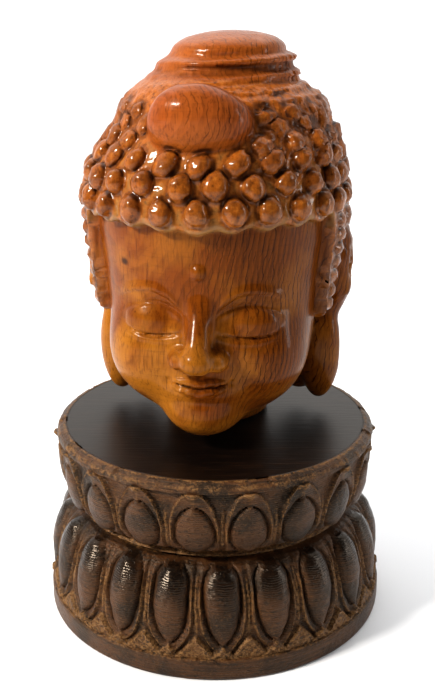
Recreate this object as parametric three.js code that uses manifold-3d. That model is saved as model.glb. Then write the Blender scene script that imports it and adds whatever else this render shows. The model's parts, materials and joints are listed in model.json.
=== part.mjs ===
// A carved wooden Buddha head resting on a round, two-tiered lotus stand.
// Millimetres, +Z up, the front towards -Y. The origin is the centre of the stand's underside.
// The head is one carving: neck, face, long-lobed ears, hair of snail curls, a jewel in front of the
// crown knot, and the crown knot itself. The stand is one turning with petals carved on both tiers.

import * as THREE from 'three';
import { mergeVertices } from 'three/addons/utils/BufferGeometryUtils.js';
import Module from 'manifold-3d';

// Stand: sizes from the bottom up.
const PLATE_RADIUS = 27;
const PLATE_HEIGHT = 3.4;
const PLATE_EDGE = 0.5;
const PLATE_LEDGE = 1.1;
const LOWER_TIER_HEIGHT = 13.4;
const LOWER_PETALS = 21;
const LOWER_PETAL_TURN = 2.5;
const WAIST_RADIUS = 21;
const WAIST_HEIGHT = 1.6;
const WAIST_LIP = 0.7;
const UPPER_TIER_RADIUS = 24.3;
const UPPER_TIER_HEIGHT = 10.4;
const UPPER_PETALS = 19;
const UPPER_PETAL_TURN = -7.3;
const RIM_HEIGHT = 1.5;
const RIM_OVERHANG = 0.6;
const RIM_SLOPE = 1.1;
const PETAL_RELIEF = 1.1;
const TIER_ROOT = 0.8;
const TIER_ROUNDNESS = 1.85;
const COLUMNS_PER_PETAL = 4;
const PLATE_COLUMNS = 48;

// Head: its height, how it is set on the stand, and the clearance under it.
const HEAD_HEIGHT = 58;
const HEAD_TURN = -7.5;
const SEAT_GAP = 0.3;
const SEAT_FLATNESS = 0.02;

// The head's carving is laid out on a canon of 58 equal parts from the neck's seat to the crown.
// The face is in equal thirds: hairline to brow, brow to the nose's base, and that to the chin.
const PARTS_HIGH = 58;
const PART = HEAD_HEIGHT / PARTS_HIGH;
const HAIRLINE = 33.5;
const CHIN = 4.5;
const THIRD = (HAIRLINE - CHIN) / 3;
const BROW = CHIN + 2 * THIRD;
const NOSE_BASE = CHIN + THIRD;
const MOUTH = NOSE_BASE - THIRD / 3;
const EYE = BROW - 0.36 * THIRD;
const EYE_ACROSS = 6.6;
const HAIR_THICKNESS = 1.7;

// Curls, in the same parts: close and small round the face, wider and larger round the back.
const CURL_SIDES = 5;
const CURL_ROOT = 0.8;
const FRONT_CURLS = {
  pitch: 5,
  radius: 2,
  height: 1.4,
  from: 0,
  to: 88,
  rows: [44.2, 41.8, 39, 35.8, 32.4, 28.9, 25.4, 21.9],
};
const BACK_CURLS = {
  pitch: 9.6,
  radius: 3.5,
  height: 1.5,
  from: 98,
  to: 180,
  rows: [42.5, 34, 25.5],
};

// How far the crown leans to the wearer's left, and the heights between which it sets in.
const CROWN_LEAN = 1;
const LEAN_FROM = 39.5;
const LEAN_TO = 45;

// How finely the head is drawn.
const HEAD_COLUMNS = 34;
const COLUMN_CROWDING = 0.64;
const CROWN_ROWS = 6;
const FACE_ROWS = 29;
const NECK_ROWS = 4;
const FACE_TOP = 12;
const FACE_BOTTOM = -44;
const EAR_COLUMNS = 10;
const EAR_ROWS = 9;
const KNOT_COLUMNS = 20;
const JEWEL_COLUMNS = 14;
const JEWEL_ROWS = 8;

const DEGREE = Math.PI / 180;

// The jewel in front of the crown knot, leaning back with the hair: its middle, sizes and lean.
const JEWEL_MIDDLE = [-1.4, -13.3, 46.4];
const JEWEL_SIZES = [7, 4.6, 6.1];
const JEWEL_LEAN = 40 * DEGREE;

// The crown knot: [radius, height] from inside the head up, two folds under a low cap.
const KNOT_PROFILE = [
  [0, 49],
  [10.2, 50.6],
  [10.9, 51.9],
  [10.1, 53],
  [10, 54],
  [9.2, 54.8],
  [8.6, 56],
  [6.6, 57.2],
  [3.6, 57.8],
  [0, PARTS_HIGH],
];
const KNOT_BACK = 2;
const KNOT_LEAN = 0.2;

// Radii and heights that follow from the sizes above.
const LOWER_TIER_RADIUS = PLATE_RADIUS - PLATE_LEDGE;
const RIM_RADIUS = UPPER_TIER_RADIUS + RIM_OVERHANG;
const TOP_RADIUS = RIM_RADIUS - RIM_SLOPE;
const WAIST_BOTTOM = PLATE_HEIGHT + LOWER_TIER_HEIGHT;
const WAIST_TOP = WAIST_BOTTOM + WAIST_HEIGHT;
const RIM_BOTTOM = WAIST_TOP + UPPER_TIER_HEIGHT;
const STAND_HEIGHT = RIM_BOTTOM + RIM_HEIGHT;

const wasm = await Module();
wasm.setup();

/** A closed geometry as a solid that can be joined and cut. */
function solidOf(geometry) {
  const bare = geometry.clone();
  bare.deleteAttribute('normal');
  bare.deleteAttribute('uv');
  const merged = mergeVertices(bare, 1e-4);
  return new wasm.Manifold(
    new wasm.Mesh({
      numProp: 3,
      vertProperties: new Float32Array(merged.attributes.position.array),
      triVerts: new Uint32Array(merged.index.array),
    }),
  );
}

/** A solid's faces as a geometry. */
function geometryOf(solid) {
  const { vertProperties, triVerts, numProp } = solid.getMesh();
  const geometry = new THREE.BufferGeometry();
  const positions = new Float32Array((vertProperties.length / numProp) * 3);
  for (let i = 0; i < positions.length / 3; i++) {
    for (let axis = 0; axis < 3; axis++) positions[3 * i + axis] = vertProperties[numProp * i + axis];
  }
  geometry.setAttribute('position', new THREE.BufferAttribute(positions, 3));
  geometry.setIndex(new THREE.BufferAttribute(new Uint32Array(triVerts), 1));
  geometry.computeVertexNormals();
  return geometry;
}

/** Moves every vertex of a geometry by a function that changes the point it is given. */
function carve(geometry, change) {
  const position = geometry.attributes.position;
  const point = new THREE.Vector3();
  for (let i = 0; i < position.count; i++) {
    point.fromBufferAttribute(position, i);
    change(point);
    position.setXYZ(i, point.x, point.y, point.z);
  }
  return geometry;
}

/** A body turned about +Z from [radius, height] points that start and end on the axis. */
function turned(profile, columns) {
  const points = profile.map(([radius, height]) => new THREE.Vector2(radius, height));
  return new THREE.LatheGeometry(points, columns).rotateX(Math.PI / 2);
}

/**
 * How far a lotus petal stands out at a place on it, from 0 to 1.
 * across runs from -1 to 1 between its neighbours, along from 0 at its root to 1 at its tip.
 */
function petalRelief(across, along) {
  const outline = Math.sqrt(Math.max(0, 1 - Math.max(0, (along - 0.25) / 0.75) ** 2.6));
  const leaf = Math.abs(across) < 0.95 * outline ? 0.25 : 0;
  const bossReach = (along - 0.46) / 0.4;
  const bossWidth = 0.7 * Math.sqrt(Math.max(0, 1 - bossReach * bossReach));
  const boss = bossWidth > 0 ? Math.max(0, 1 - (across / bossWidth) ** 2) : 0;
  return leaf + 0.75 * Math.sqrt(boss);
}

/** Raises a ring of petals on a turned tier whose petals run from rootHeight to tipHeight. */
function carvePetals(geometry, count, turn, rootHeight, tipHeight) {
  return carve(geometry, (point) => {
    const along = (point.z - rootHeight) / (tipHeight - rootHeight);
    const radius = Math.hypot(point.x, point.y);
    if (along <= 0 || along >= 1 || radius < 1) return;
    const angle = Math.atan2(point.x, -point.y) - turn * DEGREE;
    const cell = (angle * count) / (2 * Math.PI);
    const across = 2 * (cell - Math.round(cell));
    const scale = 1 + (PETAL_RELIEF * petalRelief(across, along)) / radius;
    point.x *= scale;
    point.y *= scale;
  });
}

/** Radius of a tier's rounded ground: the bulge's at the petals' tips, the waist's at their roots. */
function tierRadius(bulge, fromTip) {
  const neck = WAIST_RADIUS + WAIST_LIP;
  return neck + (bulge - neck) * (1 - fromTip ** TIER_ROUNDNESS) ** (1 / TIER_ROUNDNESS);
}

/** The foot plate with the column that joins the two tiers. */
function makePlate() {
  const core = WAIST_TOP + TIER_ROOT;
  return solidOf(
    turned(
      [
        [0, 0],
        [PLATE_RADIUS - PLATE_EDGE, 0],
        [PLATE_RADIUS, PLATE_EDGE],
        [PLATE_RADIUS, PLATE_HEIGHT - PLATE_EDGE],
        [PLATE_RADIUS - PLATE_EDGE, PLATE_HEIGHT],
        [WAIST_RADIUS, PLATE_HEIGHT],
        [WAIST_RADIUS, core],
        [0, core],
      ],
      PLATE_COLUMNS,
    ),
  );
}

/** The lower tier: petals that hang from the waist down to the plate. */
function makeLowerTier() {
  const profile = [[0, PLATE_HEIGHT - TIER_ROOT], [LOWER_TIER_RADIUS, PLATE_HEIGHT - TIER_ROOT]];
  for (const share of [0.03, 0.2, 0.5, 0.8, 1]) {
    profile.push([tierRadius(LOWER_TIER_RADIUS, share), PLATE_HEIGHT + share * LOWER_TIER_HEIGHT]);
  }
  profile.push([0, WAIST_BOTTOM]);
  const body = turned(profile, LOWER_PETALS * COLUMNS_PER_PETAL);
  body.rotateZ(LOWER_PETAL_TURN * DEGREE);
  return solidOf(carvePetals(body, LOWER_PETALS, LOWER_PETAL_TURN, WAIST_BOTTOM, PLATE_HEIGHT));
}

/** The upper tier: petals that rise from the waist to the rim, and the flat top inside the rim. */
function makeUpperTier() {
  const profile = [[0, WAIST_TOP]];
  for (const share of [0, 0.1, 0.32, 0.6, 0.95]) {
    profile.push([tierRadius(UPPER_TIER_RADIUS, 1 - share), WAIST_TOP + share * UPPER_TIER_HEIGHT]);
  }
  profile.push([RIM_RADIUS, RIM_BOTTOM]);
  profile.push([TOP_RADIUS, STAND_HEIGHT]);
  profile.push([0, STAND_HEIGHT]);
  const body = turned(profile, UPPER_PETALS * COLUMNS_PER_PETAL);
  body.rotateZ(UPPER_PETAL_TURN * DEGREE);
  return solidOf(carvePetals(body, UPPER_PETALS, UPPER_PETAL_TURN, WAIST_TOP, RIM_BOTTOM));
}

/** Signed distance to an ellipsoid, near enough for carving. */
function ellipsoid(p, [cx, cy, cz], [rx, ry, rz]) {
  const x = p.x - cx;
  const y = p.y - cy;
  const z = p.z - cz;
  const reach = Math.hypot(x / rx, y / ry, z / rz);
  const slope = Math.hypot(x / rx ** 2, y / ry ** 2, z / rz ** 2);
  return slope > 0 ? (reach * (reach - 1)) / slope : -Math.min(rx, ry, rz);
}

/** Signed distance to a round bar that tapers from one radius to the other. */
function bar(p, [ax, ay, az], [bx, by, bz], radiusA, radiusB) {
  const [dx, dy, dz] = [bx - ax, by - ay, bz - az];
  const along = ((p.x - ax) * dx + (p.y - ay) * dy + (p.z - az) * dz) / (dx * dx + dy * dy + dz * dz);
  const share = Math.min(1, Math.max(0, along));
  const gap = Math.hypot(p.x - ax - share * dx, p.y - ay - share * dy, p.z - az - share * dz);
  return gap - (radiusA + share * (radiusB - radiusA));
}

/** Joins two distances with a rounded inner corner. */
function join(a, b, round) {
  const overlap = Math.max(round - Math.abs(a - b), 0) / round;
  return Math.min(a, b) - (overlap * overlap * round) / 4;
}

/** Cuts the second shape out of the first with a rounded edge. */
function cut(a, b, round) {
  return -join(-a, b, round);
}

/** The same point with its left half folded onto the right, for paired features. */
function folded(p) {
  return { x: Math.abs(p.x), y: p.y, z: p.z };
}

/** Bare head: skull, face, jaw, chin, cheeks, nape and neck. */
function bareHead(p) {
  const q = folded(p);
  let d = ellipsoid(q, [0, 1.5, 32.5], [17.6, 19, 20.3]);
  d = join(d, ellipsoid(q, [0, -2.2, 20], [15.4, 14.9, 18]), 3);
  d = join(d, ellipsoid(q, [0, -3.4, 12.6], [13.4, 13, 10.6]), 3);
  d = join(d, ellipsoid(q, [0, -12.3, CHIN + 1.6], [5.4, 4.6, 4.2]), 3);
  d = join(d, ellipsoid(q, [7.6, -8.4, NOSE_BASE], [6.4, 7.4, 7]), 3);
  d = join(d, ellipsoid(q, [0, 4.5, 15], [13.4, 14, 13]), 4);
  return join(d, bar(p, [0, 3.8, 0], [0, 3.8, 12], 8, 8), 2);
}

/** Nose: bridge, tip and wings. */
function nose(p) {
  const q = folded(p);
  let d = bar(p, [0, -16, BROW - 1.6], [0, -19.4, NOSE_BASE + 1.6], 1.4, 1.9);
  d = join(d, ellipsoid(p, [0, -19.6, NOSE_BASE + 1.3], [2.3, 2.2, 1.8]), 0.9);
  return join(d, ellipsoid(q, [2.5, -17.7, NOSE_BASE + 0.95], [1.6, 2.3, 1.45]), 0.8);
}

/** Both lips, closed and slightly smiling. */
function lips(p) {
  const q = folded(p);
  let d = ellipsoid(q, [1.5, -16.6, MOUTH + 0.95], [2.9, 1.9, 1]);
  d = join(d, ellipsoid(q, [3.5, -15.7, MOUTH + 0.5], [1.8, 1.7, 0.7]), 0.6);
  return join(d, ellipsoid(p, [0, -16.5, MOUTH - 1.1], [3.3, 2, 1.2]), 0.25);
}

/** The face with its sockets and the balls of the eyes under lowered lids. */
function eyes(face, p) {
  const q = folded(p);
  const d = cut(face, ellipsoid(q, [EYE_ACROSS + 0.4, -19.2, EYE + 0.4], [5.4, 5.1, 3.5]), 0.7);
  return join(d, ellipsoid(q, [EYE_ACROSS, -12.1, EYE - 0.7], [4.1, 4, 2.5]), 0.4);
}

/** Long ear: rim, hollow and stretched lobe. */
function ear(p) {
  const q = folded(p);
  let d = ellipsoid(q, [18.2, 6.6, 23.6], [2.7, 5.6, 7.3]);
  d = join(d, ellipsoid(q, [16.2, 5.4, 9.8], [3.2, 3.6, 8.2]), 2.5);
  d = join(d, ellipsoid(q, [15.5, 6.6, 22], [3, 3.8, 6]), 1);
  d = cut(d, ellipsoid(q, [21.6, 6.2, 23.6], [1.9, 3.6, 5]), 0.5);
  return cut(d, bar(q, [20, 5.4, 14.5], [20.1, 5.4, 8], 1, 1), 0.5);
}

/** Height of the hair's lower edge, by the angle from straight ahead. */
function hairEdge(p) {
  const angle = Math.abs(Math.atan2(p.x, 1.5 - p.y)) / DEGREE;
  const temple = THREE.MathUtils.smoothstep(angle, 53, 60);
  const nape = THREE.MathUtils.smoothstep(angle, 94, 123);
  const peak = 0.6 * Math.exp(-((angle / 12) ** 2));
  return HAIRLINE - peak - 15.5 * temple - 8.5 * nape;
}

/** The hair's ground, without curls: the head's own form, thicker, full up to the knot's foot. */
function hairGround(p) {
  const hair = cut(bareHead(p) - HAIR_THICKNESS, 0.9 * (p.z - hairEdge(p)), 0.6);
  return join(hair, ellipsoid(p, [0, 2, 47], [15, 15.4, 6.2]), 1.5);
}

/** The face and the hair's ground in one, over the flat seat of the neck. */
function headBlock(p) {
  let d = eyes(bareHead(p), p);
  d = join(d, ellipsoid(p, [0, -12.4, MOUTH - 0.2], [6.2, 4.6, 4]), 2);
  d = join(d, nose(p), 1.3);
  d = join(d, lips(p), 0.8);
  d = join(d, hairGround(p), 0.3);
  return Math.max(d, -p.z);
}

/** Walks from outside along a ray back to where a distance is nought. */
function surfacePoint(distance, from, direction, reach) {
  const point = new THREE.Vector3();
  let travel = reach;
  for (let step = 0; step < 160; step++) {
    point.copy(direction).multiplyScalar(travel).add(from);
    const gap = distance(point);
    if (gap < 0.003) break;
    travel -= 0.6 * gap;
  }
  return point;
}

/** Turns the diagonals of a sphere's quads round on its left half, so that both halves are alike. */
function mirrorDiagonals(sphere, columns, rows) {
  const { index, attributes } = sphere;
  for (let quad = 0; quad < columns * (rows - 2); quad++) {
    const first = 3 * (columns + 2 * quad);
    const [a, b, d, , c] = index.array.slice(first, first + 5);
    const left = attributes.position.getX(a) + attributes.position.getX(b) < 0;
    if (left) index.array.set([a, b, c, a, c, d], first);
  }
}

/**
 * A closed skin drawn in, ray by ray, onto a carved form. The rays leave the middle at the given
 * elevations, in degrees from 90 down to -90. A ray that points up starts higher by up to the
 * climb, so that a long form is covered evenly, and crowding draws the columns to the front.
 */
function drawnOnto(distance, { columns, elevations, middle, climb, crowding, reach }) {
  const rows = elevations.length - 1;
  const sphere = new THREE.SphereGeometry(1, columns, rows).rotateX(Math.PI / 2);
  mirrorDiagonals(sphere, columns, rows);
  const direction = new THREE.Vector3();
  const from = new THREE.Vector3();
  return carve(sphere, (point) => {
    const row = Math.round((Math.acos(THREE.MathUtils.clamp(point.z, -1, 1)) / Math.PI) * rows);
    const turn = Math.atan2(point.x, -point.y);
    const azimuth = turn - crowding * Math.sin(turn);
    const elevation = elevations[row] * DEGREE;
    const level = row === 0 || row === rows ? 0 : Math.cos(elevation);
    direction.set(Math.sin(azimuth) * level, -Math.cos(azimuth) * level, Math.sin(elevation));
    from.set(middle[0], middle[1], middle[2] + climb * Math.sin(elevation));
    point.copy(surfacePoint(distance, from, direction, reach));
  });
}

/** Evenly spaced values from one to the other, without the first. */
function stepsTo(first, last, count) {
  return Array.from({ length: count }, (_, i) => first + ((last - first) * (i + 1)) / count);
}

/** The face and the hair's ground as a solid: rows lie close on the face, wide on crown and neck. */
function makeHeadBlock() {
  const skin = drawnOnto(headBlock, {
    columns: HEAD_COLUMNS,
    elevations: [
      90,
      ...stepsTo(90, FACE_TOP, CROWN_ROWS),
      ...stepsTo(FACE_TOP, FACE_BOTTOM, FACE_ROWS),
      ...stepsTo(FACE_BOTTOM, -90, NECK_ROWS),
    ],
    middle: [0, 0, PARTS_HIGH / 2],
    climb: 16,
    crowding: COLUMN_CROWDING,
    reach: PARTS_HIGH,
  });
  return carve(skin, (point) => {
    if (point.z < SEAT_FLATNESS) point.z = 0;
  });
}

/** One ear, on the side whose sign is given. */
function makeEar(side) {
  return drawnOnto(ear, {
    columns: EAR_COLUMNS,
    elevations: [90, ...stepsTo(90, -90, EAR_ROWS)],
    middle: [side * 17, 5.5, 16.4],
    climb: 9,
    crowding: 0,
    reach: 30,
  });
}

/** The jewel. */
function makeJewel() {
  return new THREE.SphereGeometry(1, JEWEL_COLUMNS, JEWEL_ROWS)
    .rotateX(Math.PI / 2)
    .scale(...JEWEL_SIZES)
    .rotateX(JEWEL_LEAN)
    .translate(...JEWEL_MIDDLE);
}

/** The crown knot, its cap leaning to the wearer's left. */
function makeKnot() {
  const knot = turned(KNOT_PROFILE, KNOT_COLUMNS);
  return carve(knot, (point) => {
    point.x += KNOT_LEAN * (point.z - KNOT_PROFILE[0][1]);
    point.y += KNOT_BACK;
  });
}

/** One snail curl: a short knob with a raised middle, standing along +Z. */
function makeCurl({ radius, height }) {
  const knob = new THREE.CylinderGeometry(0.7 * radius, radius, height + CURL_ROOT, CURL_SIDES, 1);
  knob.rotateX(Math.PI / 2).translate(0, 0, (height - CURL_ROOT) / 2);
  return carve(knob, (point) => {
    const middle = Math.hypot(point.x, point.y) < 1e-6;
    if (point.z > 0) point.z = middle ? height : 0.72 * height;
  });
}

/** Angles from straight ahead at which a row of curls stands, the same on both sides. */
function rowAngles({ pitch, from, to }, rowRadius, staggered) {
  const step = pitch / rowRadius;
  const angles = [];
  for (let angle = from * DEGREE + (staggered ? step / 2 : 0); angle <= to * DEGREE; angle += step) {
    angles.push(angle);
    const paired = angle > step / 4 && angle < Math.PI - step / 4;
    if (paired) angles.push(-angle);
  }
  return angles;
}

/** Where a band's curls stand on the hair and which way each points, every other row staggered. */
function curlPlaces(band) {
  const places = [];
  const direction = new THREE.Vector3();
  const from = new THREE.Vector3();
  const bare = 0.8 * band.radius;
  band.rows.forEach((height, row) => {
    from.set(0, 1.5, height);
    const side = surfacePoint(hairGround, from, direction.set(1, 0, 0), PARTS_HIGH);
    for (const angle of rowAngles(band, side.x, (band.rows.length - 1 - row) % 2 === 1)) {
      direction.set(Math.sin(angle), -Math.cos(angle), 0);
      const place = surfacePoint(hairGround, from, direction, PARTS_HIGH);
      const low = place.z < hairEdge(place) + bare;
      const covered = Math.min(jewelDistance(place), ear(place)) < bare;
      if (low || covered) continue;
      places.push({ place, normal: outward(hairGround, place) });
    }
  });
  return places;
}

/** Distance to the jewel. */
function jewelDistance(p) {
  const [, middleY, middleZ] = JEWEL_MIDDLE;
  const y = p.y - middleY;
  const z = p.z - middleZ;
  const leaned = {
    x: p.x,
    y: y * Math.cos(JEWEL_LEAN) + z * Math.sin(JEWEL_LEAN),
    z: z * Math.cos(JEWEL_LEAN) - y * Math.sin(JEWEL_LEAN),
  };
  return ellipsoid(leaned, [0, 0, 0], JEWEL_SIZES);
}

/** The outward direction at a point of a surface. */
function outward(distance, point) {
  const step = 0.05;
  const slope = (axis) => {
    const ahead = point.clone();
    const behind = point.clone();
    ahead[axis] += step;
    behind[axis] -= step;
    return distance(ahead) - distance(behind);
  };
  return new THREE.Vector3(slope('x'), slope('y'), slope('z')).normalize();
}

/** Leans the crown to the wearer's left. */
function leanCrown(geometry) {
  return carve(geometry, (point) => {
    point.x += CROWN_LEAN * THREE.MathUtils.smoothstep(point.z, LEAN_FROM, LEAN_TO);
  });
}

/** One piece of the head as a solid in millimetres. */
function headSolid(geometry) {
  return solidOf(leanCrown(geometry).scale(PART, PART, PART));
}

/** The head in millimetres, with its ears, jewel, crown knot and curls joined on. */
function makeHead() {
  const pieces = [makeEar(1), makeEar(-1), makeJewel(), makeKnot()];
  const up = new THREE.Vector3(0, 0, 1);
  for (const band of [FRONT_CURLS, BACK_CURLS]) {
    const curl = makeCurl(band);
    for (const { place, normal } of curlPlaces(band)) {
      const upright = new THREE.Quaternion().setFromUnitVectors(up, normal);
      pieces.push(curl.clone().applyQuaternion(upright).translate(place.x, place.y, place.z));
    }
  }
  let solid = headSolid(makeHeadBlock());
  for (const piece of pieces) solid = solid.add(headSolid(piece));
  return solid;
}

const headWood = new THREE.MeshStandardMaterial({ color: 0xb5652a, roughness: 0.35, metalness: 0 });
const standWood = new THREE.MeshStandardMaterial({ color: 0x3d2a1e, roughness: 0.5, metalness: 0 });

const standSolid = makePlate().add(makeLowerTier()).add(makeUpperTier());
const stand = new THREE.Mesh(geometryOf(standSolid), standWood);
stand.name = 'lotus_stand';

const carvedHead = new THREE.Mesh(geometryOf(makeHead()), headWood);
carvedHead.name = 'buddha_head';

const seated = new THREE.Group();
seated.position.z = STAND_HEIGHT + SEAT_GAP;
seated.rotation.z = HEAD_TURN * DEGREE;
seated.add(carvedHead);

const figure = new THREE.Group();
figure.add(stand, seated);

export default figure;
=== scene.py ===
"""A small carved wooden Buddha head on a round lotus stand, dressed for its picture.

The head is one glossy orange-brown carving and the stand one dark turning. Both are drawn
finely onto the same carved forms as their solids, and each replaces its own node.
"""

from __future__ import annotations

import json
import logging
import math
from dataclasses import dataclass, field
from enum import Enum
from typing import Any, Callable, Sequence

import bpy
import numpy as np
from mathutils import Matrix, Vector

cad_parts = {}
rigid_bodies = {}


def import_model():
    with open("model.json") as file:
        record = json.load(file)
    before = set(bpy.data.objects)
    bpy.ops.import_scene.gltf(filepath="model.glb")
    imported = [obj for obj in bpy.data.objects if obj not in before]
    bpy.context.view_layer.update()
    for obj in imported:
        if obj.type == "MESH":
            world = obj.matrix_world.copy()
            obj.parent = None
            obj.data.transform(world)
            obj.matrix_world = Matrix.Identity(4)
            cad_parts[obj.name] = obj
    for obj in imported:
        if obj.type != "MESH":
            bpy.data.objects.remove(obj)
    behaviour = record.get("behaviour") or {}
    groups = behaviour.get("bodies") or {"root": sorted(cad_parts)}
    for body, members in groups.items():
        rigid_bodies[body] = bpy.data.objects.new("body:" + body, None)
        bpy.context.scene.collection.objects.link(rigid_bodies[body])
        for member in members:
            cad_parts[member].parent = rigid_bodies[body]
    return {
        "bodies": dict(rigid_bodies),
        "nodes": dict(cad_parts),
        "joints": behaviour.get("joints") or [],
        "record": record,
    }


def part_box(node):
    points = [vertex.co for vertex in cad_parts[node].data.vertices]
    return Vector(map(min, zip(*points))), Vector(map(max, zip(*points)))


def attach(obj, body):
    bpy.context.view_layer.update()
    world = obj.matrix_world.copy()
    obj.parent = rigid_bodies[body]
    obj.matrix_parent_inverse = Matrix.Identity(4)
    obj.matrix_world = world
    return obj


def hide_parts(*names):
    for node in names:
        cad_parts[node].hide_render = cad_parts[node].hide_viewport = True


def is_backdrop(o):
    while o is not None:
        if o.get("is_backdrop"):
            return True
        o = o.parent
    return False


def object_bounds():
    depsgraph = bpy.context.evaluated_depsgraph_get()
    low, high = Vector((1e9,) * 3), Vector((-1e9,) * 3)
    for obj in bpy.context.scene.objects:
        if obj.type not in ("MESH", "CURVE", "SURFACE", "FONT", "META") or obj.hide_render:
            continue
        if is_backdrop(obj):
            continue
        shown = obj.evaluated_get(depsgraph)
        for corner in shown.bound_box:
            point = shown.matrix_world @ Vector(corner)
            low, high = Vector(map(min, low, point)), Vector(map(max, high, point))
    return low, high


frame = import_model()
CAD_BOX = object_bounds()

MM = 0.001
TURN = 2.0 * math.pi
Array = np.ndarray
Triple = tuple[float, float, float]
Distance = Callable[[Array], Array]
Settings = dict[str, Any] | None
Piece = bpy.types.Object

log = logging.getLogger("buddha_head")


def smoothstep(value: Array, low: float, high: float) -> Array:
    """A soft step.

    Args:
        value: Numbers of any size.
        low: Where the step starts to rise.
        high: Where it has risen.

    Returns:
        Numbers from 0 to 1.
    """
    share = np.clip((value - low) / (high - low), 0.0, 1.0)
    return share * share * (3.0 - 2.0 * share)


def bell(value: Array, width: float) -> Array:
    """A bell curve of height 1 about nought."""
    return np.exp(-((value / width) ** 2))


class Grain:
    """Smooth seeded noise in space, for what a hand and a tool leave on a surface."""

    def __init__(self, seed: int) -> None:
        """Draws the noise's table from a seed."""
        self.table = np.random.default_rng(seed).uniform(-1.0, 1.0, 4096)

    def _corner(self, cell: Array) -> Array:
        """Table values at whole-numbered corners."""
        mixed = cell[:, 0] * 73856093 ^ cell[:, 1] * 19349663 ^ cell[:, 2] * 83492791
        return self.table[mixed & 4095]

    def at(self, points: Array, size: float) -> Array:
        """Noise at points.

        Args:
            points: An (n, 3) array.
            size: How wide one bump is, in the points' units.

        Returns:
            n numbers, mostly from -1 to 1.
        """
        scaled = points / size
        cell = np.floor(scaled).astype(np.int64)
        share = scaled - cell
        share = share * share * (3.0 - 2.0 * share)
        total = np.zeros(len(points))
        for dx in (0, 1):
            for dy in (0, 1):
                for dz in (0, 1):
                    weight = np.ones(len(points))
                    for axis, step in enumerate((dx, dy, dz)):
                        weight *= share[:, axis] if step else 1.0 - share[:, axis]
                    total += weight * self._corner(cell + np.array([dx, dy, dz]))
        return total


GRAIN = Grain(11)


class Form:
    """Signed distances to simple forms, and soft ways to join and cut them."""

    @staticmethod
    def ellipsoid(points: Array, centre: Triple, radii: Triple) -> Array:
        """Distance to an ellipsoid, near enough for carving."""
        gap = points - np.array(centre)
        spread = np.array(radii)
        reach = np.linalg.norm(gap / spread, axis=1)
        slope = np.linalg.norm(gap / spread**2, axis=1)
        return reach * (reach - 1.0) / np.maximum(slope, 1e-9)

    @staticmethod
    def bar(points: Array, start: Triple, end: Triple, first: float, last: float) -> Array:
        """Distance to a round bar that tapers from its first to its last radius."""
        begin = np.array(start)
        along = np.array(end) - begin
        share = np.clip((points - begin) @ along / (along @ along), 0.0, 1.0)
        gap = np.linalg.norm(points - begin - share[:, None] * along, axis=1)
        return gap - (first + share * (last - first))

    @staticmethod
    def join(a: Array, b: Array, soft: float) -> Array:
        """Both forms together, with an inner corner rounded by soft."""
        overlap = np.maximum(soft - np.abs(a - b), 0.0) / soft
        return np.minimum(a, b) - overlap * overlap * soft / 4.0

    @staticmethod
    def cut(a: Array, b: Array, soft: float) -> Array:
        """The first form without the second, with an edge rounded by soft."""
        return -Form.join(-a, b, soft)

    @staticmethod
    def swell(points: Array, d: Array, lumps: Sequence[tuple[Triple, Triple, float]]) -> Array:
        """A form with ellipsoids joined on, each a centre, its radii and how soft its join is."""
        for centre, radii, soft in lumps:
            d = Form.join(d, Form.ellipsoid(points, centre, radii), soft)
        return d


def fold(points: Array) -> Array:
    """The points with the left half folded onto the right, for paired features."""
    folded = points.copy()
    folded[:, 0] = np.abs(folded[:, 0])
    return folded


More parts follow.
